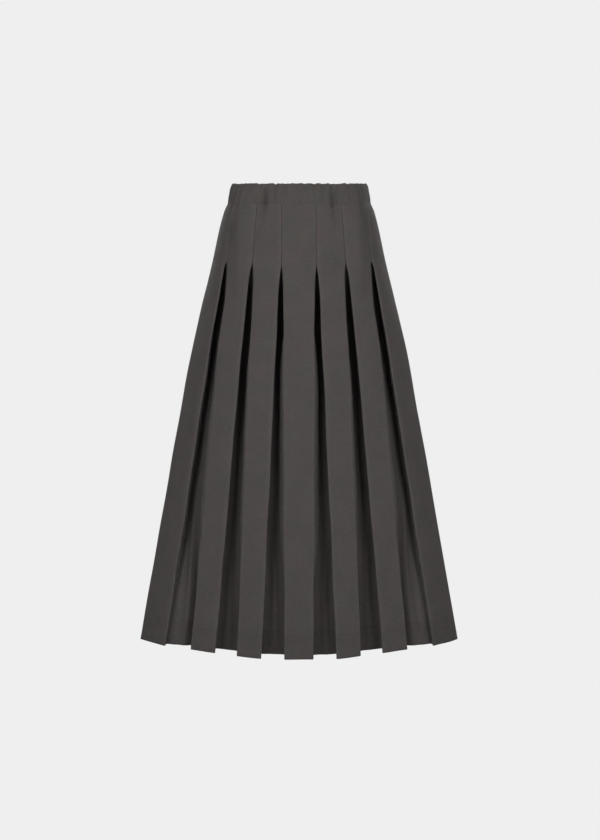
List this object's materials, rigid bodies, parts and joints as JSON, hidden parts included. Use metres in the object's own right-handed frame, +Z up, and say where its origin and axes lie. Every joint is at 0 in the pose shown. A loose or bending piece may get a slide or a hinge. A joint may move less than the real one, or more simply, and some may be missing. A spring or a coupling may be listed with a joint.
{
  "type": "pleated midi skirt",
  "caption": "Charcoal midi skirt with box pleats stitched down to the hip and a gathered elastic waistband, held open in its worn shape.",
  "frame": {"origin": "the middle of the waistband, at half its height, where the wearer's waist holds the skirt up", "axes": "+Z up along the wearer's back, the front faces -Y, +X to the wearer's left"},
  "size_m": [0.5706, 0.2942, 0.8233],
  "materials": {
    "skirt_cloth": "matte charcoal plain weave, with fine slubs",
    "waistband_cloth": "the same cloth, gathered over elastic"
  },
  "bodies": {
    "root": {"front_panel": "skirt_cloth", "back_panel": "skirt_cloth", "waistband": "waistband_cloth"}
  },
  "joints": []
}
